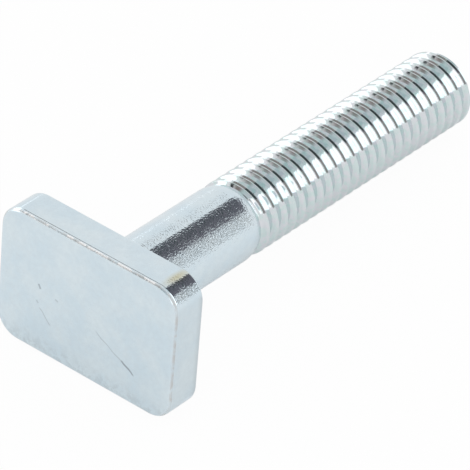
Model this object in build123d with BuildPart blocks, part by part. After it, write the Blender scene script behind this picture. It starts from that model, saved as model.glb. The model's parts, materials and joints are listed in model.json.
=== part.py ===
from build123d import *
import os
from math import asin, atan2, ceil, cos, degrees, hypot, radians, sin, tan

# T slot bolt: a flat rectangular head with rounded corners, a plain shank and a rolled thread,
# all forged from one blank. Millimetres, +Z up.
#
# The bolt lies as it comes to rest on a table: on one long side of its head and on the far end of
# its thread. Its axis runs from the head at -X down to the thread's end at +X, by a small angle.

# Head: a plate that drops into the slot and can't turn in it
head_length = 15.7
head_width = 10.8
head_thickness = 2.85
head_corner_radius = 1.85
face_edge_radius = 0.32
bearing_edge_radius = 0.25

# Shank: the part of the blank that was never rolled
length_under_head = 36.8
shank_diameter = 5.88
neck_bevel = 0.3

# Shoulder: where the shank rounds off to the diameter that the thread is rolled from
shoulder_length = 1.15
rolling_diameter = 5.4

# Thread: right-hand, 60 degree flanks that meet in the crests, which stand above the rolling diameter
thread_length = 24.2
thread_diameter = 5.96
thread_pitch = 1.0
thread_depth = 0.613
flank_angle = 30
run_out_turns = 0.6

# Point: the bevel that guides the thread into a nut
point_depth = 0.5
point_length = 0.5

# How far a shape runs on past the surface that trims it or takes it in
overrun = 0.05

shank_radius = shank_diameter / 2
rolling_radius = rolling_diameter / 2
crest_radius = thread_diameter / 2
root_radius = crest_radius - thread_depth

# Distances along the axis, from the head's outer face
end_of_bolt = head_thickness + length_under_head
end_of_shoulder = end_of_bolt - thread_length
end_of_shank = end_of_shoulder - shoulder_length
full_thread = end_of_shoulder + run_out_turns * thread_pitch
point_start = end_of_bolt - point_length

# The angle at which the bolt rests. The rounded rim of the head's bearing side and the crest where
# the point starts touch the table together: rise and run are between the rim's centre and that crest.
rim_run = point_start - (head_thickness - bearing_edge_radius)
rim_rise = head_width / 2 - bearing_edge_radius - crest_radius
rest_tilt = atan2(rim_rise, rim_run) + asin(bearing_edge_radius / hypot(rim_run, rim_rise))

# The axis passes over the table at this height where it leaves the head's outer face, and the
# origin lies under the middle of the whole length.
table_to_axis = point_start * sin(rest_tilt) + crest_radius * cos(rest_tilt)
rim_height = head_width / 2 - face_edge_radius
back_of_head = face_edge_radius * (cos(rest_tilt) - 1) - rim_height * sin(rest_tilt)
front_of_point = end_of_bolt * cos(rest_tilt) + (crest_radius - point_depth) * sin(rest_tilt)
face_centre = Vector(-(back_of_head + front_of_point) / 2, 0, table_to_axis)

# Along the axis, and square to it in the upright plane that holds it
along = Vector(cos(rest_tilt), 0, -sin(rest_tilt))
cross_section = Plane(origin=face_centre, x_dir=(0, 1, 0), z_dir=along)
long_section = Plane(origin=face_centre, x_dir=along, z_dir=(0, -1, 0))
bolt_axis = Axis(face_centre, along)

# The thread's ridge has a triangle for its section, with its base a little way inside the core. Each
# corner runs along a helix, and each side of a turn is the ruled face between two of them. The ridge
# starts inside the shoulder, where the steel covers it, and runs out past the point.
base_radius = root_radius - overrun
base_half_width = (crest_radius - base_radius) * tan(radians(flank_angle))
section_corners = [
    (base_radius, -base_half_width),
    (base_radius, base_half_width),
    (crest_radius, 0),
]
ridge_start = end_of_shoulder - thread_pitch
ridge_turns = ceil((end_of_bolt - ridge_start) / thread_pitch) + 1
ridge_faces = []
for turn in range(ridge_turns):
    corner_helices = []
    for corner_radius, corner_offset in section_corners:
        with BuildLine() as corner_line:
            Helix(
                pitch=thread_pitch,
                height=thread_pitch,
                radius=corner_radius,
                center=face_centre + along * (ridge_start + turn * thread_pitch + corner_offset),
                direction=along,
            )
        corner_helices.append(corner_line.edge())
    next_helices = corner_helices[1:] + corner_helices[:1]
    ridge_faces += [
        Face.make_surface_from_curves(helix, next_helix)
        for helix, next_helix in zip(corner_helices, next_helices)
    ]
    if turn == 0:
        ridge_faces.append(Face(Wire.make_polygon([helix @ 0 for helix in corner_helices], close=True)))
ridge_faces.append(Face(Wire.make_polygon([helix @ 1 for helix in corner_helices], close=True)))
ridge = Solid(Shell(ridge_faces))

# The threaded end: the ridge turned down to the thread's outline, and the core that it is wound on.
# At the shoulder the outline rises from the rolling diameter, so the first turn comes up to its full
# height little by little, as it does under the rolling dies.
# Between there and the point the outline stands clear of the crests.
outline_rise = (crest_radius - rolling_radius) / (full_thread - end_of_shoulder)
outline_radius = crest_radius + overrun
start_clear = full_thread + overrun / outline_rise
end_clear = point_start - overrun * point_length / point_depth
with BuildPart() as threaded_end:
    add(ridge)
    with BuildSketch(long_section):
        with BuildLine():
            Polyline(
                (end_of_shank, 0),
                (end_of_shank, rolling_radius - outline_rise * shoulder_length),
                (start_clear, outline_radius),
                (end_clear, outline_radius),
                (end_of_bolt, crest_radius - point_depth),
                (end_of_bolt, 0),
                close=True,
            )
        make_face()
    revolve(axis=bolt_axis, mode=Mode.INTERSECT)
    with BuildSketch(cross_section.offset(end_of_shank)):
        Circle(root_radius)
    extrude(amount=end_of_bolt - end_of_shank)

with BuildPart() as t_slot_bolt:
    # The head
    with BuildSketch(cross_section):
        RectangleRounded(head_length, head_width, head_corner_radius)
    extrude(amount=head_thickness)
    fillet(t_slot_bolt.faces().sort_by(bolt_axis)[0].edges(), face_edge_radius)
    fillet(t_slot_bolt.faces().sort_by(bolt_axis)[-1].edges(), bearing_edge_radius)

    # The shank and the shoulder, turned in one outline, with a small bevel where they leave the head.
    # Past the shoulder it closes in, below the thread's roots, so that the first groove deepens over
    # the run-out.
    middle_of_head = head_thickness / 2
    groove_fall = (rolling_radius - root_radius) / (run_out_turns * thread_pitch)
    with BuildSketch(long_section):
        with BuildLine():
            Polyline(
                (end_of_shank, shank_radius),
                (head_thickness + neck_bevel, shank_radius),
                (head_thickness, shank_radius + neck_bevel),
                (middle_of_head, shank_radius + neck_bevel),
                (middle_of_head, 0),
                (full_thread + thread_pitch, 0),
                (full_thread + thread_pitch, root_radius - groove_fall * thread_pitch),
                (end_of_shoulder, rolling_radius),
            )
            TangentArc((end_of_shank, shank_radius), (end_of_shoulder, rolling_radius), tangent=(1, 0))
        make_face()
    revolve(axis=bolt_axis)
    add(threaded_end.part)

t_slot_bolt.part.label = "t_slot_bolt"

os.makedirs("parts", exist_ok=True)
export_step(t_slot_bolt.part, "parts/t_slot_bolt.step")

print("rests at", round(degrees(rest_tilt), 2), "degrees")
print("face centre", face_centre)
print("volume", round(t_slot_bolt.part.volume, 2), "mm3")
print("box", t_slot_bolt.part.bounding_box())
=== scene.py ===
# %% [markdown]
# # A zinc plated T slot bolt
#
# The bolt is one piece of steel: a flat rectangular head that drops into a slot, a plain shank, and a
# rolled thread. The imported model already holds its true sizes and its place on the table. Here it gets
# the mesh and the finish that make it look real: rounded edges, a thread that fades in at its shoulder
# and a bright zinc skin.
#
# The first step loads that model. Its box is kept, because what we model must stay inside it. Its box is
# kept, since the cards and the camera are placed about its middle.

# %% Load the imported model
import json
from math import atan2, cos, degrees, hypot, pi, radians, sin, sqrt, tan

import bmesh
import bpy
from mathutils import Matrix, Vector


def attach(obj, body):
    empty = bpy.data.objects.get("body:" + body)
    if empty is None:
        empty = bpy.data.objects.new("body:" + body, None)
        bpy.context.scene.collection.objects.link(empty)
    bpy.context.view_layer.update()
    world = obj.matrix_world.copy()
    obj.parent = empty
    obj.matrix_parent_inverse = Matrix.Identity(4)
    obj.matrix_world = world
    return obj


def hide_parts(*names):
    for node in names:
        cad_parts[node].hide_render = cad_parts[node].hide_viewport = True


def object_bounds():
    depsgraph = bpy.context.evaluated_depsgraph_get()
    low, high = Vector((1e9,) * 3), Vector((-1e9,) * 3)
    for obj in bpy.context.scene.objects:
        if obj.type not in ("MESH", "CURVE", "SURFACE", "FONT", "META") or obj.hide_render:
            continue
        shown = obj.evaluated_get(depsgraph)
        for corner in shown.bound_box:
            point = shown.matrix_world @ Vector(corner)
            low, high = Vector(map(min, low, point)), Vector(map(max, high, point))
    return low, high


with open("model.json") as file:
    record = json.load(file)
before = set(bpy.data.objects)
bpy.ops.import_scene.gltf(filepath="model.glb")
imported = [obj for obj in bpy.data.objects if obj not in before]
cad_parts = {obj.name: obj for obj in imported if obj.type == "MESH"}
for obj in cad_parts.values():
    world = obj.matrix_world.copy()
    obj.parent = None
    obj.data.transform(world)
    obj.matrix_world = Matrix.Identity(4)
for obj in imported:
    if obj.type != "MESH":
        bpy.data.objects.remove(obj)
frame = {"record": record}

cad_low, cad_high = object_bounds()
print("CAD box, mm:", [round(side * 1000, 2) for side in cad_high - cad_low])

# %% [markdown]
# ## Lengths along the bolt
#
# Everything below is in millimetres, and the bolt is modelled standing on its head's outer face, with
# its axis up the Z axis. That keeps each step simple: heights are distances along the bolt. At the end
# the finished mesh is laid down in its real place, in metres.
#
# The record names mounts on the shank and on the thread, with their radii and lengths, so those two
# take their sizes from there. The other lengths are the same as in the solid.

# %% Lengths along the bolt
mounts = {mount["name"]: mount for mount in frame["record"]["mounts"]}
shank_radius = mounts["shank"]["dims"]["r_mm"]
crest_radius = mounts["thread"]["dims"]["r_mm"]
thread_length = mounts["thread"]["dims"]["length_mm"]

head_thickness = 2.85
length_under_head = 36.8
shoulder_length = 1.15

end_of_bolt = head_thickness + length_under_head
end_of_shoulder = end_of_bolt - thread_length
end_of_shank = end_of_shoulder - shoulder_length
print("bolt", end_of_bolt, "mm long, thread from", round(end_of_shoulder, 2), "mm")

# %% [markdown]
# ## Selecting
#
# Operators act on what is selected, so nothing may be left selected by chance. Loading the model, for
# one, leaves its parts selected. `start_on` clears that and makes one object the active one. In edit
# mode, `pick` selects faces, edges or vertices by a rule about their place, as a hand would with the
# mouse.

# %% Select and edit
def start_on(piece):
    """Makes one piece the only selected and active object."""
    for thing in bpy.context.selected_objects:
        thing.select_set(False)
    piece.select_set(True)
    bpy.context.view_layer.objects.active = piece


def edit(piece):
    """Goes into edit mode on a piece, with nothing in it selected."""
    start_on(piece)
    bpy.ops.object.mode_set(mode="EDIT")
    bpy.ops.mesh.select_all(action="DESELECT")


def leave_edit():
    """Goes back to object mode."""
    bpy.ops.object.mode_set(mode="OBJECT")


def pick(piece, kind, rule):
    """Selects the faces, edges or verts of the edited mesh that the rule holds for."""
    bpy.ops.mesh.select_mode(type={"faces": "FACE", "edges": "EDGE", "verts": "VERT"}[kind])
    bpy.ops.mesh.select_all(action="DESELECT")
    mesh = bmesh.from_edit_mesh(piece.data)
    for item in getattr(mesh, kind):
        if rule(item):
            item.select_set(True)
    mesh.select_flush_mode()
    bmesh.update_edit_mesh(piece.data)


print("left selected by the load:", len(bpy.context.selected_objects))

# %% [markdown]
# ## The thread's outline
#
# A thread is one outline, one pitch long, wound along a helix. As drawn by hand it is a few points: half
# of the root, a flank up at 30 degrees, the crest, the other flank down and the rest of the root.
#
# The solid's thread is simpler than this one: its crests come to an edge, which saves faces. Rolling dies
# that the steel doesn't quite fill leave a flat crest instead, and a slightly shallower groove. The crest
# isn't quite level either but leans a few degrees towards the head, and the flanks swell by a hundredth
# of a millimetre. These forms are tiny, but a skin that shines like a mirror shows them, since each bends
# its reflection.

# %% Work out one pitch of the thread
thread_pitch = 1.0
thread_depth = 0.58
flank_angle = radians(30)
flank_bulge = 0.008
flank_steps = 4
crest_flat = 0.28
crest_lean_angle = radians(6)

root_radius = crest_radius - thread_depth
flank_width = thread_depth * tan(flank_angle)
root_half = (thread_pitch - crest_flat) / 2 - flank_width
crest_start = root_half + flank_width
crest_end = crest_start + crest_flat
low_crest_radius = crest_radius - crest_flat * tan(crest_lean_angle)


def bulged(start, end):
    """The points from start to end along a very shallow arc, end left out."""
    length = hypot(end[0] - start[0], end[1] - start[1])
    outward = (end[1] - start[1]) / length, (start[0] - end[0]) / length
    for i in range(flank_steps):
        share = i / flank_steps
        swell = 4 * flank_bulge * share * (1 - share)
        yield tuple(
            first + share * (last - first) + swell * out
            for first, last, out in zip(start, end, outward)
        )


outline = [
    (root_radius, 0),
    *bulged((root_radius, root_half), (low_crest_radius, crest_start)),
    (low_crest_radius, crest_start),
    *bulged((crest_radius, crest_end), (root_radius, thread_pitch - root_half)),
    (root_radius, thread_pitch - root_half),
    (root_radius, thread_pitch),
]
print("outline points:", len(outline), "root radius", round(root_radius, 2), "mm")

# %% [markdown]
# ## Draw the outline
#
# A plane melted to a single vertex is a pencil: extruding that vertex from point to point draws the
# outline. No corner of a rolled thread is sharp, so the four corners are then bevelled as vertices, a
# little at the root and more at the crest.

# %% Draw one pitch of the thread
# Two points nearer than this are one point
TOUCHING = 1e-4

bpy.ops.mesh.primitive_plane_add(size=1, location=(0, 0, 0))
thread = bpy.context.object
thread.name = "thread"
edit(thread)
bpy.ops.mesh.select_all(action="SELECT")
bpy.ops.mesh.merge(type="CENTER")
bpy.ops.transform.translate(value=(root_radius, 0, 0))
for (radius, height), (next_radius, next_height) in zip(outline, outline[1:]):
    step = (next_radius - radius, 0, next_height - height)
    bpy.ops.mesh.extrude_region_move(TRANSFORM_OT_translate={"value": step})


def root_corner(vert):
    """A rule for the outline's corners at the root, its two ends left out."""
    inner = TOUCHING < vert.co.z < thread_pitch - TOUCHING
    return inner and vert.co.x < root_radius + TOUCHING


def crest_corner(vert):
    """A rule for the outline's two corners at the crest."""
    return vert.co.x > low_crest_radius - TOUCHING


root_round = 0.018
crest_round = 0.04
pick(thread, "verts", root_corner)
bpy.ops.mesh.bevel(offset=root_round, segments=2, affect="VERTICES")
pick(thread, "verts", crest_corner)
bpy.ops.mesh.bevel(offset=crest_round, segments=3, affect="VERTICES")
leave_edit()
print("points with the corners rounded:", len(thread.data.vertices))

# %% [markdown]
# ## Wind it up
#
# The Screw modifier turns the outline about Z and lifts it by one pitch in each turn, which is just
# what a helix is. The end of one turn meets the start of the next, so merging the doubles closes the
# surface. It is wound too far at both ends and then cut square with two bisects. How far it starts below
# the shoulder also says where round the bolt each crest stands.

# %% Wind the thread
def finish_modifier(piece, kind, **settings):
    """Adds a modifier to a piece, sets it up and applies it."""
    start_on(piece)
    modifier = piece.modifiers.new(kind.title(), kind)
    for name, value in settings.items():
        setattr(modifier, name, value)
    bpy.ops.object.modifier_apply(modifier=modifier.name)


def tell(piece):
    """Prints how many faces a piece has, whether it is closed, and what it holds."""
    mesh = bmesh.new()
    mesh.from_mesh(piece.data)
    open_edges = sum(not edge.is_manifold for edge in mesh.edges)
    volume = round(mesh.calc_volume(signed=True), 1)
    print(piece.name, len(mesh.faces), "faces,", open_edges, "open edges, volume", volume)
    mesh.free()


steps_per_turn = 120
spare_turns = 4
turns = int(thread_length / thread_pitch) + spare_turns
turns_below_shoulder = 1.647
thread_base = end_of_shoulder - turns_below_shoulder * thread_pitch
edit(thread)
bpy.ops.mesh.select_all(action="SELECT")
bpy.ops.transform.translate(value=(0, 0, thread_base))
leave_edit()
finish_modifier(
    thread, "SCREW", axis="Z", angle=2 * pi, screw_offset=thread_pitch, iterations=turns,
    steps=steps_per_turn, render_steps=steps_per_turn, use_smooth_shade=True,
)
edit(thread)
bpy.ops.mesh.select_all(action="SELECT")
bpy.ops.mesh.remove_doubles(threshold=TOUCHING)
bpy.ops.mesh.bisect(plane_co=(0, 0, end_of_bolt), plane_no=(0, 0, 1), clear_outer=True)
bpy.ops.mesh.select_all(action="SELECT")
bpy.ops.mesh.bisect(plane_co=(0, 0, end_of_shoulder), plane_no=(0, 0, 1), clear_inner=True)
bpy.ops.mesh.select_all(action="SELECT")
bpy.ops.mesh.remove_doubles(threshold=TOUCHING)
leave_edit()
tell(thread)

# %% [markdown]
# ## The run-out
#
# The dies don't start at full depth. Over about half a turn the grooves sink from the diameter that the
# blank had there, and the steel they push aside makes the crests rise almost at once. The Cast modifier
# pulls points onto a cylinder of that diameter, and a vertex group says how strongly: fully at the
# shoulder, not at all after the run-out.

# %% Fade the thread in
rolling_radius = 2.7
groove_run_out = 0.6
crest_run_out = 0.08
fade = thread.vertex_groups.new(name="run_out")
for vertex in thread.data.vertices:
    sunk = hypot(vertex.co.x, vertex.co.y) < rolling_radius
    run_out = groove_run_out if sunk else crest_run_out
    share = 1 - (vertex.co.z - end_of_shoulder) / run_out
    if share > 0:
        fade.add([vertex.index], min(share, 1), "REPLACE")
finish_modifier(
    thread, "CAST", cast_type="CYLINDER", factor=1, radius=0, size=rolling_radius,
    use_radius_as_size=False, use_z=False, vertex_group="run_out",
)
thread.vertex_groups.clear()
print("grooves sink over", groove_run_out, "mm, crests rise over", crest_run_out, "mm")

# %% [markdown]
# ## Shoulder, shank and neck
#
# The thread's lower rim is now a plain circle, and the rest of the stem grows out of it by extruding
# that rim down and scaling it: an arc for the shoulder, a straight run for the shank, and a small round
# where the neck flares out into the head. One list of heights and radii says it all.

# %% Extrude the stem
neck_radius = 0.3


def shoulder_profile(steps):
    """The arc from the rolling radius up to the shank, which it meets smoothly."""
    rise = shank_radius - rolling_radius
    arc_radius = (shoulder_length**2 + rise**2) / (2 * rise)
    for i in range(steps - 1, -1, -1):
        back = i / steps * shoulder_length
        drop = arc_radius - sqrt(arc_radius**2 - back**2)
        yield end_of_shank + back, shank_radius - drop


def neck_profile(steps):
    """A quarter round that flares out to the head's inner side."""
    for i in range(steps + 1):
        angle = i / steps * pi / 2
        yield (
            head_thickness + neck_radius * (1 - sin(angle)),
            shank_radius + neck_radius * (1 - cos(angle)),
        )


stem = [*shoulder_profile(steps=10), *neck_profile(steps=5)]
half_way = end_of_bolt / 2
edit(thread)
pick(thread, "edges", lambda edge: edge.is_boundary and edge.verts[0].co.z < half_way)
height, radius = end_of_shoulder, rolling_radius
for next_height, next_radius in stem:
    bpy.ops.mesh.extrude_region_move(
        TRANSFORM_OT_translate={"value": (0, 0, next_height - height)}
    )
    ratio = next_radius / radius
    bpy.ops.transform.resize(value=(ratio, ratio, 1), center_override=(0, 0, next_height))
    height, radius = next_height, next_radius
leave_edit()
tell(thread)

# %% [markdown]
# ## The point
#
# A bolt's end is cut square and bevelled, so that a nut finds its start. The end is filled with one
# face. The bevel is turned off with a cutter, the way a lathe would: a ring whose inside is the bevel's
# cone, taken away by a Boolean modifier.

# %% Close the end
def rim_at(height):
    """A rule for the edges that lie at one height."""
    return lambda edge: all(abs(vert.co.z - height) < TOUCHING for vert in edge.verts)


edit(thread)
pick(thread, "edges", rim_at(end_of_bolt))
bpy.ops.mesh.edge_face_add()
leave_edit()
tell(thread)

# %% Model the cutter for the bevel
# The cone is carried on a little way past the crests and past the bolt's end
point_depth = 0.5
point_length = 0.5
cutter_over = 0.4
slope = point_length / point_depth
wide_radius = crest_radius + cutter_over
narrow_radius = crest_radius - point_depth - cutter_over / slope
cutter_low = end_of_bolt - point_length - cutter_over * slope
cutter_high = end_of_bolt + cutter_over
bpy.ops.mesh.primitive_circle_add(
    vertices=steps_per_turn, radius=wide_radius, location=(0, 0, cutter_low)
)
cutter = bpy.context.object
cutter.name = "bevel_cutter"
start_on(cutter)
bpy.ops.object.transform_apply(location=True)
edit(cutter)
bpy.ops.mesh.select_all(action="SELECT")
bpy.ops.mesh.extrude_region_move(
    TRANSFORM_OT_translate={"value": (0, 0, cutter_high - cutter_low)}
)
bpy.ops.mesh.extrude_region_move(TRANSFORM_OT_translate={"value": (0, 0, 0)})
ratio = narrow_radius / wide_radius
bpy.ops.transform.resize(value=(ratio, ratio, 1), center_override=(0, 0, cutter_high))
pick(cutter, "edges", lambda edge: edge.is_boundary)
bpy.ops.mesh.bridge_edge_loops()
bpy.ops.mesh.select_all(action="SELECT")
bpy.ops.mesh.normals_make_consistent(inside=False)
leave_edit()
tell(cutter)

# %% [markdown]
# ## The head
#
# The head is a plate with rounded corners: a plane of its length and width, its four corners bevelled
# as vertices, extruded by its thickness. Its rims are then bevelled as edges, the front one a little
# rounder than the one that bears on the slot.

# %% Model the head
head_length = 15.7
head_width = 10.8
head_corner_radius = 1.85
face_edge_radius = 0.32
bearing_edge_radius = 0.25

bpy.ops.mesh.primitive_plane_add(size=1, location=(0, 0, 0))
bolt = bpy.context.object
bolt.name = "zinc_plated_bolt"
edit(bolt)
bpy.ops.mesh.select_all(action="SELECT")
bpy.ops.transform.resize(value=(head_width, head_length, 1))
bpy.ops.mesh.bevel(offset=head_corner_radius, segments=14, affect="VERTICES")
bpy.ops.mesh.select_all(action="SELECT")
bpy.ops.mesh.extrude_region_move(TRANSFORM_OT_translate={"value": (0, 0, head_thickness)})
bpy.ops.mesh.select_all(action="SELECT")
bpy.ops.mesh.normals_make_consistent(inside=False)

pick(bolt, "edges", rim_at(0))
bpy.ops.mesh.bevel(offset=face_edge_radius, segments=6, affect="EDGES")
pick(bolt, "edges", rim_at(head_thickness))
bpy.ops.mesh.bevel(offset=bearing_edge_radius, segments=5, affect="EDGES")
leave_edit()
tell(bolt)

# %% [markdown]
# ## Join head and stem
#
# The neck ends in a circle that lies in the plane of the head's inner side. That side's face is
# deleted, and the gap between its rim and the circle is filled, so the whole bolt is one closed skin.

# %% Join head and stem
def inner_side(face):
    """A rule for the head's flat side towards the shank."""
    return face.normal.z > 0.999 and face.calc_center_median().z > head_thickness / 2


edit(bolt)
pick(bolt, "faces", inner_side)
bpy.ops.mesh.delete(type="FACE")
leave_edit()
start_on(bolt)
thread.select_set(True)
bpy.ops.object.join()
edit(bolt)
pick(bolt, "edges", lambda edge: edge.is_boundary)
bpy.ops.mesh.fill()
bpy.ops.mesh.select_all(action="SELECT")
bpy.ops.mesh.normals_make_consistent(inside=False)
leave_edit()
tell(bolt)
finish_modifier(bolt, "BOOLEAN", operation="DIFFERENCE", object=cutter, solver="EXACT")
bpy.data.objects.remove(cutter)
tell(bolt)

# %% [markdown]
# ## Smooth shading
#
# Faces that meet at a small angle are shaded as one smooth surface. The Weighted Normal modifier lets
# the large faces decide the shading, so the head's flat sides stay flat right up to their rims.

# %% Shade it smooth
smooth_below = radians(50)
start_on(bolt)
bpy.ops.object.shade_smooth_by_angle(angle=smooth_below)
finish_modifier(bolt, "WEIGHTED_NORMAL", mode="FACE_AREA", weight=60, keep_sharp=True)
sharp_edges = sum(edge.use_edge_sharp for edge in bolt.data.edges)
print("edges left sharp:", sharp_edges)

# %% [markdown]
# ## Lay it down
#
# The shank mount's axis says how the bolt lies: nearly level, a few degrees nose down. Turning it about
# Y by a right angle and that tilt lays it along X, and the head's outer face goes to its place on the
# axis. Applying the transform puts all of it in the mesh, in metres.

# %% Place the bolt
along = Vector(mounts["shank"]["axis"]).normalized()
shank_middle = Vector(mounts["shank"]["pos_m"])
neck_top = head_thickness + neck_radius
shank_middle_height = (neck_top + end_of_shank) / 2
face_centre = shank_middle - along * shank_middle_height / 1000
tilt = atan2(-along.z, along.x)
lying = (0, pi / 2 + tilt, 0)
start_on(bolt)
bolt.rotation_euler = lying
bolt.location = face_centre
bolt.scale = (0.001, 0.001, 0.001)
bpy.ops.object.transform_apply(location=True, rotation=True, scale=True)
print("rests at", round(degrees(tilt), 2), "degrees")

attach(bolt, "root")
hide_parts("t_slot_bolt")

# %% [markdown]
# ## The zinc
#
# Bright zinc is a thin metal skin with a blue cast. As a metal it has hardly any colour of its own: what
# it shows is its surroundings, tinted by its base colour and blurred by its roughness. So one metallic
# shader does for the whole bolt, and the work goes into how the skin differs from place to place.
#
# For that the material must know where on the bolt it is. Object coordinates stay with the bolt, and a
# Mapping node of the Texture type undoes the way it lies. What comes out is in millimetres, with Z along
# the bolt from the head's outer face, Y along the head and X downwards, as in the steps above.

# %% Start the zinc material
zinc = bpy.data.materials.new("bright_zinc")
zinc.use_nodes = True
nodes, links = zinc.node_tree.nodes, zinc.node_tree.links
shader = nodes["Principled BSDF"]
shader.inputs["Metallic"].default_value = 1

place = nodes.new("ShaderNodeTexCoord")
upright = nodes.new("ShaderNodeMapping")
upright.vector_type = "TEXTURE"
upright.inputs["Location"].default_value = face_centre
upright.inputs["Rotation"].default_value = lying
upright.inputs["Scale"].default_value = (0.001, 0.001, 0.001)
links.new(place.outputs["Object"], upright.inputs["Vector"])
millimetres = upright.outputs["Vector"]
split = nodes.new("ShaderNodeSeparateXYZ")
links.new(millimetres, split.inputs["Vector"])
height_along = split.outputs["Z"]
print("zinc started, metallic", shader.inputs["Metallic"].default_value)

# %% [markdown]
# ## Masks for the parts of the bolt
#
# The skin changes at four places. The dies pressed the thread smooth, while the blank above it kept a
# fine grain. The head is smoother than the shank. And the plate's front rim, where bolts knock against
# each other in the plating drum, is rubbed dull; it also gets a painted brownish reflection, and painted
# highlights as bright specks along its top.
#
# A ramp along the bolt, or down or across it, masks each of them, so no painting is needed. Two masks
# multiplied keep what lies in both.

# %% Masks
def ramp(value, low, high, out_low=0.0, out_high=1.0):
    """Turns a value that runs from low to high into one that runs from out_low to out_high."""
    node = nodes.new("ShaderNodeMapRange")
    node.interpolation_type = "SMOOTHSTEP"
    links.new(value, node.inputs["Value"])
    node.inputs["From Min"].default_value = low
    node.inputs["From Max"].default_value = high
    node.inputs["To Min"].default_value = out_low
    node.inputs["To Max"].default_value = out_high
    return node.outputs["Result"]


def calculate(operation, first, second=None):
    """A Math node: each side is a socket or a plain number."""
    node = nodes.new("ShaderNodeMath")
    node.operation = operation
    for socket, value in zip(node.inputs, (first, second)):
        if isinstance(value, (int, float)):
            socket.default_value = value
        elif value is not None:
            links.new(value, socket)
    return node.outputs["Value"]


def product(first, second):
    """Multiplies two masks: what is left lies in both."""
    return calculate("MULTIPLY", first, second)


down, across = split.outputs["X"], split.outputs["Y"]
top_of_head = -head_width / 2
side_of_head = -head_length / 2

rolled = ramp(height_along, end_of_shoulder - 0.5, end_of_shoulder + 0.1)
on_head = ramp(height_along, head_thickness + 0.2, head_thickness)
on_face = ramp(height_along, 0.03, 0.01)
on_side = ramp(across, side_of_head + 0.15, side_of_head + 0.02)

rim_low, rim_high, rim_fade = 0.02, 0.24, 0.08
rim = product(
    ramp(height_along, rim_low, rim_low + rim_fade),
    ramp(height_along, rim_high, rim_high - rim_fade),
)
top_rim = product(rim, ramp(down, top_of_head + 0.4, top_of_head + 0.2))
print("masks made, rim from", rim_low, "to", rim_high, "mm")

# %% [markdown]
# ## Spots
#
# A spot is a mask round one point: the distance from it, in a frame that is scaled by the spot's radii,
# runs from 0 in the middle to 1 at its edge. Two spots sit on the same corner of the head: a yellowish
# patch and a patch with small dents. The yellowish patch is broken up by a noise, the same wide clouds
# that the colour follows below.

# %% Spots
def noise(scale, detail=2.0, roughness=0.5):
    """A noise pattern; the scale is about how many blobs fit in a millimetre."""
    node = nodes.new("ShaderNodeTexNoise")
    node.inputs["Scale"].default_value = scale
    node.inputs["Detail"].default_value = detail
    node.inputs["Roughness"].default_value = roughness
    links.new(millimetres, node.inputs["Vector"])
    return node.outputs["Fac"]


def local_frame(centre, turn=0.0, scale=(1, 1, 1)):
    """The place measured from a point of the bolt, in axes that may be turned and scaled."""
    node = nodes.new("ShaderNodeMapping")
    node.vector_type = "TEXTURE"
    node.inputs["Location"].default_value = centre
    node.inputs["Rotation"].default_value = (0, 0, turn)
    node.inputs["Scale"].default_value = scale
    links.new(millimetres, node.inputs["Vector"])
    return node.outputs["Vector"]


def spot(centre, radii):
    """A soft round mask about a point: one at its middle, none past its radii."""
    length = nodes.new("ShaderNodeVectorMath")
    length.operation = "LENGTH"
    links.new(local_frame(centre, scale=radii), length.inputs[0])
    return ramp(length.outputs["Value"], 1, 0)


clouds = noise(scale=0.35, detail=4, roughness=0.6)
corner_start = side_of_head + head_corner_radius

# A yellowish patch on the head's rounded corner, broken up by the clouds.
yellowish_patch_centre = (top_of_head, corner_start - 0.3, 1.7)
yellowish_patch_radii = (1.5, 0.6, 1.9)
yellowish_patch = product(spot(yellowish_patch_centre, yellowish_patch_radii), ramp(clouds, 0.2, 0.5, 0.4, 0.9))

dents_centre = (top_of_head + 0.4, corner_start - 1.2, head_thickness / 2)
dents_radii = (1.6, 1.6, 1.6)
dented = spot(dents_centre, dents_radii)
print("spots at the corner that starts", round(corner_start, 2), "mm from the middle")

# %% [markdown]
# ## The colour of the blank
#
# The blue cast comes and goes in wide clouds, with smaller and fainter patches over it. Then come the
# yellowish patch, the rim's painted brownish reflection with its painted highlight specks, painted shade
# on the side that darkens towards the back, and painted shade along the foot of the face. Each is a
# layer:
# a colour laid over what is there, as far as its mask says.

# %% Colour layers
def blend(kind, share, first, second):
    """Goes from the first colour (RGBA) or value (FLOAT) to the second as the share goes to 1."""
    node = nodes.new("ShaderNodeMix")
    node.data_type = kind
    links.new(share, node.inputs["Factor"])
    for socket, value in ((node.inputs["A"], first), (node.inputs["B"], second)):
        if isinstance(value, tuple):
            socket.default_value = (*value, 1)
        elif isinstance(value, (int, float)):
            socket.default_value = value
        else:
            links.new(value, socket)
    return node.outputs["Result"]


cool_zinc, pale_zinc = (0.715, 0.835, 0.905), (0.785, 0.88, 0.925)
mottled = ramp(noise(scale=2.2, detail=4, roughness=0.65), 0.3, 0.7, out_high=0.22)
# Painted reflection: a brownish colour on the front rim, broken up by a noise.
rim_painted_reflection = product(rim, ramp(noise(scale=1.4, detail=3, roughness=0.6), 0.35, 0.6, 0.1, 0.6))
# Painted highlights: white specks along the top of the front rim.
painted_glint_specks = product(top_rim, ramp(noise(scale=1.9), 0.46, 0.52))
# Painted shade: the head's side goes darker towards the back.
painted_side_shade = product(on_side, ramp(height_along, 2.1, 2.75, 0.16, 0.55))
# Painted shade along the foot of the face, broken up by a noise.
low_on_face = product(ramp(down, 3.6, 5.2, out_high=0.5), on_face)
painted_low_shade = product(low_on_face, ramp(noise(scale=1.6, detail=5, roughness=0.7), 0.42, 0.6))

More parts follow.
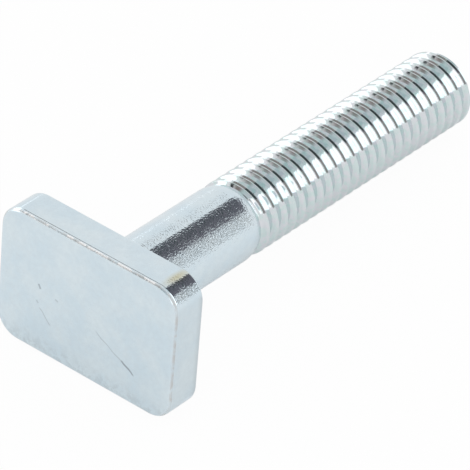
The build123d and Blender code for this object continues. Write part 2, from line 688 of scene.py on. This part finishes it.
# The rim's brownish layer is a painted reflection, its white specks are painted highlights, and the side
# and foot layers are painted shade.
layers = (
    (mottled, (0.62, 0.70, 0.76)),
    (yellowish_patch, (0.66, 0.63, 0.45)),
    (rim_painted_reflection, (0.56, 0.53, 0.50)),
    (painted_glint_specks, (1.0, 1.0, 1.0)),
    (painted_side_shade, (0.50, 0.55, 0.57)),
    (painted_low_shade, (0.55, 0.62, 0.66)),
)
blank_colour = blend("RGBA", ramp(clouds, 0.32, 0.68), cool_zinc, pale_zinc)
for share, layer_colour in layers:
    blank_colour = blend("RGBA", share, blank_colour, layer_colour)
print(len(layers), "colour layers on the blank")

# %% [markdown]
# ## Scratches
#
# Bolts are shipped loose, so the large flat face has a few fine scratches and nicks. A scratch is a mask
# in a frame turned along it: narrow across, and fading out towards both ends. A slow noise added to the
# distance across makes it waver, as no real scratch is straight. The list gives each mark's two ends on
# the face, down and across from its middle, then its width, and how dark it is.

# %% Scratches on the face
waver_width = 0.5
sharp_part = 0.3
full_part = 0.7


def scratch(start, end, width):
    """A thin wavering line on the face, from one point of it to another."""
    middle_of_line = ((start[0] + end[0]) / 2, (start[1] + end[1]) / 2, 0)
    half = hypot(end[0] - start[0], end[1] - start[1]) / 2
    turn = atan2(end[1] - start[1], end[0] - start[0])
    axes = nodes.new("ShaderNodeSeparateXYZ")
    links.new(local_frame(middle_of_line, turn), axes.inputs["Vector"])
    slow_noise = noise(scale=0.6, detail=1)
    waver = calculate("MULTIPLY", calculate("SUBTRACT", slow_noise, 0.5), waver_width)
    from_line = calculate("ABSOLUTE", calculate("ADD", axes.outputs["Y"], waver))
    thin = ramp(from_line, width, width * sharp_part)
    short = ramp(calculate("ABSOLUTE", axes.outputs["X"]), half, half * full_part)
    return product(product(thin, short), on_face)


face_marks = (
    ((0.9, -0.8), (2.9, -4.5), 0.08, 0.28),
    ((2.2, -3.3), (3.0, -4.6), 0.10, 0.6),
    ((1.6, 4.1), (2.7, 2.9), 0.08, 0.3),
    ((-0.3, 4.2), (0.1, 4.0), 0.13, 0.5),
    ((1.1, 4.3), (1.3, 4.1), 0.10, 0.25),
    ((0.3, 2.7), (0.4, 2.4), 0.10, 0.25),
)
scratch_colour = (0.22, 0.25, 0.29)
for start, end, width, darkness in face_marks:
    mark = product(scratch(start, end, width), darkness)
    blank_colour = blend("RGBA", mark, blank_colour, scratch_colour)
print(len(face_marks), "marks on the face")

# %% [markdown]
# ## The colour of the thread
#
# On the thread the colour swings between a greenish and a warmer grey, as a very thin passivation layer
# does on zinc. One more blend puts the two colours together where the rolling starts.

# %% Colour of the thread, and of the whole bolt
green_zinc, warm_zinc = (0.685, 0.795, 0.795), (0.76, 0.785, 0.82)
tint = ramp(noise(scale=2.4), 0.38, 0.62)
thread_colour = blend("RGBA", tint, green_zinc, warm_zinc)
whole_colour = blend("RGBA", rolled, blank_colour, thread_colour)
links.new(whole_colour, shader.inputs["Base Color"])
print("the thread's colour starts", round(end_of_shoulder, 2), "mm from the face")

# %% [markdown]
# ## Shine and grain
#
# The skin is bright, so its roughness is low, lowest on the pressed thread and high only on the rubbed
# rim. The fine grain that the drawn wire left on the shank is a bump: as geometry it would take far too
# many faces for something a few hundredths of a millimetre deep. It is strong on the shank, coarser on
# one side of it, and faint on the head and the thread.

# %% Roughness and bump
blank_roughness, rubbed_roughness, rolled_roughness = 0.10, 0.38, 0.085
blank_shine = blend("FLOAT", rim, blank_roughness, rubbed_roughness)
links.new(blend("FLOAT", rolled, blank_shine, rolled_roughness), shader.inputs["Roughness"])

fine_grain, coarse_grain = 0.4, 0.85
head_grain, rim_grain, dented_grain, rolled_grain = 0.09, 0.4, 0.9, 0.03
grain_depth = 0.00003
head_bump = blend("FLOAT", dented, blend("FLOAT", rim, head_grain, rim_grain), dented_grain)
shank_bump = ramp(across, -0.6, -1.3, fine_grain, coarse_grain)
blank_bump = blend("FLOAT", on_head, shank_bump, head_bump)
bump = nodes.new("ShaderNodeBump")
bump.inputs["Distance"].default_value = grain_depth
links.new(blend("FLOAT", rolled, blank_bump, rolled_grain), bump.inputs["Strength"])
links.new(noise(scale=7.5, detail=1), bump.inputs["Height"])
links.new(bump.outputs["Normal"], shader.inputs["Normal"])

bolt.data.materials.clear()
bolt.data.materials.append(zinc)
print("zinc material:", len(nodes), "nodes on", bolt.name)

# %% [markdown]
# ## The table
#
# The bolt lies on a large white table that should run out into the white background with no edge, yet
# keep a trace of the bolt's shadow. A Light Path node tells who is looking. For the camera most of the
# table's light is a plain glow of strength 1, which is white, and the rest is the shaded surface with
# the shadow on it. For reflections in the bolt a smaller share glows. For every other ray it is just a
# white surface, so the glow itself lights nothing.

# %% Table
camera_share = 0.96
mirror_share = 0.25
table_size = 6.0
table_colour = (0.95, 0.95, 0.95, 1)

bpy.ops.mesh.primitive_plane_add(size=table_size, location=(0, 0, 0))
table = bpy.context.object
table.name = "table"
table_white = bpy.data.materials.new("white_table")
table_white.use_nodes = True
table_nodes, table_links = table_white.node_tree.nodes, table_white.node_tree.links
table_shader = table_nodes["Principled BSDF"]
table_shader.inputs["Base Color"].default_value = table_colour
table_shader.inputs["Roughness"].default_value = 1
table_shader.inputs["Specular IOR Level"].default_value = 0

table_glow = table_nodes.new("ShaderNodeEmission")
rays = table_nodes.new("ShaderNodeLightPath")
in_camera = table_nodes.new("ShaderNodeMath")
in_camera.operation = "MULTIPLY"
in_camera.inputs[1].default_value = camera_share
table_links.new(rays.outputs["Is Camera Ray"], in_camera.inputs[0])
glow_share = table_nodes.new("ShaderNodeMath")
glow_share.operation = "MULTIPLY_ADD"
glow_share.inputs[1].default_value = mirror_share
table_links.new(rays.outputs["Is Glossy Ray"], glow_share.inputs[0])
table_links.new(in_camera.outputs[0], glow_share.inputs[2])
table_mix = table_nodes.new("ShaderNodeMixShader")
table_links.new(glow_share.outputs[0], table_mix.inputs["Fac"])
table_links.new(table_shader.outputs[0], table_mix.inputs[1])
table_links.new(table_glow.outputs[0], table_mix.inputs[2])
table_links.new(table_mix.outputs[0], table_nodes["Material Output"].inputs["Surface"])
table.data.materials.append(table_white)
print("table glows", camera_share, "for the camera,", mirror_share, "in reflections")

# %% [markdown]
# ## The light
#
# A shiny bolt is best lit in a light tent: soft white light from everywhere, and no lamp to see in the
# metal. A plain white world does that. It is a little under full strength as a light, so that the
# pale zinc doesn't burn out, and full white behind the bolt.

# %% World
light_level = 0.86

world = bpy.data.worlds.new("light_tent")
bpy.context.scene.world = world
world.use_nodes = True
world_nodes, world_links = world.node_tree.nodes, world.node_tree.links
background = world_nodes["Background"]
background.inputs["Color"].default_value = (1, 1, 1, 1)
world_rays = world_nodes.new("ShaderNodeLightPath")
level = world_nodes.new("ShaderNodeMapRange")
level.inputs["To Min"].default_value = light_level
level.inputs["To Max"].default_value = 1
world_links.new(world_rays.outputs["Is Camera Ray"], level.inputs["Value"])
world_links.new(level.outputs["Result"], background.inputs["Strength"])
print("light level", light_level)

# %% [markdown]
# ## What a card is made of
#
# In a tent that is white all round, bright metal would look like chalk: it needs something dark to show.
# So cards are hung round the bolt, black, grey and brown ones for the dark bands along it, and boxes for
# the bright ones. Each is a glowing surface of one colour. Foil is a card whose glow is broken up by a
# noise. A soft card turns clear towards its edges, so that its reflection has no hard border.

# %% Foil and soft edges
patch_low, patch_high = 0.46, 0.58
patch_dark = 0.1


def crumple(tree, emission, strength, scale):
    """Breaks a card's glow up into bright and dark patches."""
    coordinates = tree.nodes.new("ShaderNodeTexCoord")
    facets = tree.nodes.new("ShaderNodeTexNoise")
    facets.inputs["Scale"].default_value = scale
    patches = tree.nodes.new("ShaderNodeMapRange")
    patches.inputs["From Min"].default_value = patch_low
    patches.inputs["From Max"].default_value = patch_high
    patches.inputs["To Min"].default_value = patch_dark
    patches.inputs["To Max"].default_value = strength
    tree.links.new(coordinates.outputs["Object"], facets.inputs["Vector"])
    tree.links.new(facets.outputs["Fac"], patches.inputs["Value"])
    tree.links.new(patches.outputs["Result"], emission.inputs["Strength"])


def soften(tree, surface, width):
    """Lets a card's surface turn clear near its edges, by its own UV map."""
    coordinates = tree.nodes.new("ShaderNodeTexCoord")
    across = tree.nodes.new("ShaderNodeSeparateXYZ")
    tree.links.new(coordinates.outputs["UV"], across.inputs["Vector"])
    nearest = tree.nodes.new("ShaderNodeMath")
    nearest.operation = "MINIMUM"
    for side, axis in enumerate(("X", "Y")):
        from_edge = tree.nodes.new("ShaderNodeMath")
        from_edge.operation = "PINGPONG"
        from_edge.inputs[1].default_value = 0.5
        tree.links.new(across.outputs[axis], from_edge.inputs[0])
        tree.links.new(from_edge.outputs[0], nearest.inputs[side])
    fade = tree.nodes.new("ShaderNodeMapRange")
    fade.interpolation_type = "SMOOTHSTEP"
    fade.inputs["From Max"].default_value = width
    tree.links.new(nearest.outputs[0], fade.inputs["Value"])
    clear = tree.nodes.new("ShaderNodeBsdfTransparent")
    mix = tree.nodes.new("ShaderNodeMixShader")
    tree.links.new(fade.outputs["Result"], mix.inputs["Fac"])
    tree.links.new(clear.outputs[0], mix.inputs[1])
    tree.links.new(surface, mix.inputs[2])
    return mix.outputs[0]


print("foil patches glow from", patch_dark)

# %% Card material
def glow(name, colour, strength, foil=0.0, soft=0.0):
    """A glowing material: plain, in patches as crumpled foil glows, or fading out at its edges."""
    material = bpy.data.materials.new(name)
    material.use_nodes = True
    tree = material.node_tree
    emission = tree.nodes.new("ShaderNodeEmission")
    emission.inputs["Color"].default_value = (*colour, 1)
    emission.inputs["Strength"].default_value = strength
    surface = emission.outputs[0]
    if foil:
        crumple(tree, emission, strength, foil)
    if soft:
        surface = soften(tree, surface, soft)
    tree.links.new(surface, tree.nodes["Material Output"].inputs["Surface"])
    return material


frame_black = glow("black_frame", (0, 0, 0), 0)
print("first card material:", frame_black.name)

# %% [markdown]
# ## Hanging a card
#
# A reflection only depends on the direction it comes from, so a card is placed by the directions of its
# four corners as seen from the bolt: an azimuth from +X towards +Y, and an elevation. It hangs far away,
# because a near card would shift along the thread from one turn to the next, and it is bent round the
# bolt, so that its edges follow the angles. Each next card hangs a little nearer and covers the last.
#
# Cards only show in reflections. The camera doesn't see them, and they neither light the table nor
# shade it. Most boxes have a black frame, which draws the thin dark lines beside a bright reflection.

# %% Card hanging
card_distance = 2.0
card_gap = 0.01
card_bends = 8
cards = []
middle = (cad_low + cad_high) / 2


def direction(azimuth, elevation):
    """A unit vector, with the azimuth in degrees from +X towards +Y."""
    turn, rise = radians(azimuth), radians(elevation)
    return Vector((cos(turn) * cos(rise), sin(turn) * cos(rise), sin(rise)))


def between(first, second, share):
    """The pair of angles at a share of the way from the first pair to the second."""
    return [a + (b - a) * share for a, b in zip(first, second)]


def card(name, corners, colour, strength, frame_width=0.0, foil=0.0, soft=0.0):
    """Hangs a card by its corners: low and high on one side, then high and low on the other."""
    bpy.ops.mesh.primitive_grid_add(x_subdivisions=card_bends, y_subdivisions=card_bends, size=1)
    piece = bpy.context.object
    piece.name = name
    distance = card_distance - card_gap * len(cards)
    low_first, high_first, high_last, low_last = corners
    for vertex in piece.data.vertices:
        sideways, upwards = vertex.co.x + 0.5, vertex.co.y + 0.5
        low = between(low_first, low_last, sideways)
        high = between(high_first, high_last, sideways)
        vertex.co = middle + direction(*between(low, high, upwards)) * distance
    piece.data.materials.append(glow(name, colour, strength, foil, soft))
    if frame_width:
        piece.data.materials.append(frame_black)
        edit(piece)
        bpy.ops.mesh.select_all(action="SELECT")
        bpy.ops.mesh.inset(thickness=frame_width * distance)
        bpy.ops.mesh.select_all(action="INVERT")
        piece.active_material_index = 1
        bpy.ops.object.material_slot_assign()
        leave_edit()
    piece.visible_camera = False
    piece.visible_diffuse = False
    piece.visible_shadow = False
    cards.append(piece)


print("cards hang", card_distance, "m away")

# %% [markdown]
# ## Cards beside the shank
#
# Seen from the camera, the shank's upper side mirrors what stands behind it and to its right. Going down
# from its top edge there is white, then a black card, then foil that gives the sparkle under the black
# band, and white again. A second black card hangs over the first, for the rounded crests, which look
# higher up. The flat crests lean towards the head and look past the foil at a grey card, which keeps
# their thin dark lines unbroken. A bright box comes next.

# %% Hang the cards beside the shank
box_frame = 0.035
white = (1, 1, 1)
card("black_card", ((5, 28), (10, 50), (-48, 44), (-30, 24)), (1.0, 0.92, 1.05), 0.145)
card("black_top", ((11, 49), (14, 66), (-30, 64), (-45, 44)), (0.8, 1.0, 1.02), 0.07)
card("foil", ((-25, 18), (-47, 44), (-54, 8), (-30, -2)), white, 1.5, foil=11)
card("line_card", ((-40, 44), (-46, 50), (-66, 12), (-53, 12)), (1.0, 0.97, 0.95), 0.3)
card("right_box", ((-50, 57), (-68, 63), (-84, 14), (-66, 14)), white, 2.0, box_frame)
print(len(cards), "cards so far")

# %% [markdown]
# ## Cards on the left
#
# The flanks that face the head mirror the left half of the tent, from beside the camera round to the far
# side. A grey card there makes the grey band down the thread, with bright boxes on both sides of it for
# the white ones. A brown and a small black card make the warm, dark end of the grey band.

# %% Hang the cards for the thread's flanks
card("left_box", ((-172, 0), (-172, 27), (-152, 27), (-152, 0)), white, 1.45, box_frame)
card("grey_card", ((157, 14), (157, 36), (189, 36), (189, 14)), (0.88, 0.98, 1), 0.63)
card("brown_card", ((145, 21), (145, 46), (174, 46), (174, 19)), (1, 0.84, 0.78), 0.24, soft=0.45)
card("blot_card", ((142, 23), (142, 38), (151, 38), (151, 25)), (0.8, 0.95, 1), 0.02, soft=0.25)
card("back_box", ((100, 0), (100, 22), (141, 22), (141, 0)), white, 1.5, box_frame)
card("far_top", ((49, 12), (49, 30), (105, 54), (105, 12)), white, 1.4)
print(len(cards), "cards so far")

# %% [markdown]
# ## Cards overhead
#
# The rounded corners of the crests, and the flanks at the top of the thread, look upwards. A strip of
# brown, two dark cards and a grey one keep them from going all white, so that each turn of the thread
# stands out from the next.

# %% Hang the cards overhead
pale_blue = (0.9, 0.95, 1)
card("brown_strip", ((47, 31), (58, 46), (10, 66), (10, 52)), (1.0, 0.92, 0.88), 0.27, soft=0.1)
card("dark_top", ((120, 38), (120, 52), (150, 56), (150, 34)), pale_blue, 0.05, soft=0.2)
card("left_top", ((148, 36), (148, 60), (222, 60), (222, 36)), pale_blue, 0.3, soft=0.2)
card("grey_top", ((40, 70), (80, 84), (-60, 76), (-36, 64)), (0.9, 0.98, 1), 0.7)
print(len(cards), "cards hung")

# %% [markdown]
# ## The camera
#
# The camera looks down at the head from one side, with the thread running away to the upper right. It is
# placed the same way as the cards, by a direction and a distance, and then rolled a little, as a camera
# in the hand is. A long lens keeps the far end of the thread from shrinking.

# %% Camera
view_azimuth, view_elevation = -141.41, 38.24
view_distance = 0.33198
view_roll = radians(2.0)
aim = middle + Vector((-0.00628, -0.00204, 0))

camera_data = bpy.data.cameras.new("camera")
camera_data.sensor_width = 36
camera_data.lens = 367.7
camera_data.clip_start = 0.01
camera_data.clip_end = 20
camera = bpy.data.objects.new("camera", camera_data)
bpy.context.scene.collection.objects.link(camera)
camera.location = aim + direction(view_azimuth, view_elevation) * view_distance
look = (aim - camera.location).to_track_quat("-Z", "Y").to_matrix()
camera.rotation_euler = (look @ Matrix.Rotation(view_roll, 3, "Z")).to_euler()
bpy.context.scene.camera = camera
bpy.context.scene.view_settings.view_transform = "Standard"
print("camera at", [round(metres, 3) for metres in camera.location])
